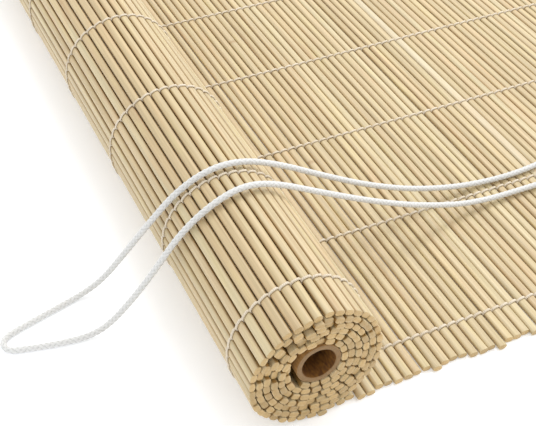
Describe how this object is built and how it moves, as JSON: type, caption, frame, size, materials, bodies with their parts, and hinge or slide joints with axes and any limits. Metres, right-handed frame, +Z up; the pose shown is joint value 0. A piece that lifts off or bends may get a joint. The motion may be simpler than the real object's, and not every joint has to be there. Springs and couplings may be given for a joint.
{
  "type": "bamboo roll up blind",
  "caption": "Roll up blind of bamboo sticks woven with twined threads, part rolled on a cardboard core, with headrail, hanging plates, pulleys and a lift cord.",
  "frame": {"origin": "on the floor under the middle of the laid out blind, its free cord left out", "axes": "+X along the mat from the roll to the headrail, +Y along the sticks, +Z up"},
  "size_m": [0.9528, 0.605, 0.0735],
  "materials": {
    "bamboo": "satin, natural peeled bamboo",
    "warp_thread": "twisted cotton thread",
    "cardboard_core": "spiral wound kraft board",
    "headrail_wood": "planed softwood",
    "steel_fittings": "zinc plated",
    "sheave_plastic": "moulded nylon",
    "lift_cord": "braided white cotton",
    "pull_wood": "turned, clear lacquer"
  },
  "bodies": {
    "blind": {"cord_knot": "lift_cord", "cord_pull": "pull_wood", "core_tube": "cardboard_core", "far_hanging_plate": "steel_fittings", "far_pulley_bracket": "steel_fittings", "far_pulley_pin": "steel_fittings", "flat_sticks_1": "bamboo", "flat_sticks_2": "bamboo", "flat_sticks_3": "bamboo", "flat_sticks_4": "bamboo", "flat_sticks_5": "bamboo", "flat_sticks_6": "bamboo", "flat_sticks_7": "bamboo", "flat_sticks_8": "bamboo", "hanging_plate_screws": "steel_fittings", "headrail": "headrail_wood", "lift_cord": "lift_cord", "near_hanging_plate": "steel_fittings", "near_pulley_bracket": "steel_fittings", "near_pulley_pin": "steel_fittings", "pulley_screws": "steel_fittings", "roll_turn_1_sticks": "bamboo", "roll_turn_2_sticks": "bamboo", "roll_turn_3_sticks": "bamboo", "roll_turn_4_sticks": "bamboo", "roll_turn_5_sticks": "bamboo", "roll_turn_6_sticks": "bamboo", "screw_eye": "steel_fittings", "warp_thread_1": "warp_thread", "warp_thread_2": "warp_thread", "warp_thread_3": "warp_thread", "warp_thread_4": "warp_thread", "warp_thread_5": "warp_thread", "warp_thread_6": "warp_thread", "warp_thread_7": "warp_thread", "warp_thread_8": "warp_thread"},
    "far_lower_sheave": {"far_lower_sheave": "sheave_plastic"},
    "far_upper_sheave": {"far_upper_sheave": "sheave_plastic"},
    "near_sheave": {"near_sheave": "sheave_plastic"}
  },
  "joints": [
    {"name": "near_sheave_spin", "type": "hinge", "parent": "blind", "child": "near_sheave", "pos_m": [0.40534, -0.2384, 0.01222], "axis": [0, 0, 1], "continuous": true},
    {"name": "far_lower_sheave_spin", "type": "hinge", "parent": "blind", "child": "far_lower_sheave", "pos_m": [0.40534, 0.2339, 0.01222], "axis": [0, 0, 1], "continuous": true},
    {"name": "far_upper_sheave_spin", "type": "hinge", "parent": "blind", "child": "far_upper_sheave", "pos_m": [0.40534, 0.2339, 0.01762], "axis": [0, 0, 1], "continuous": true}
  ]
}
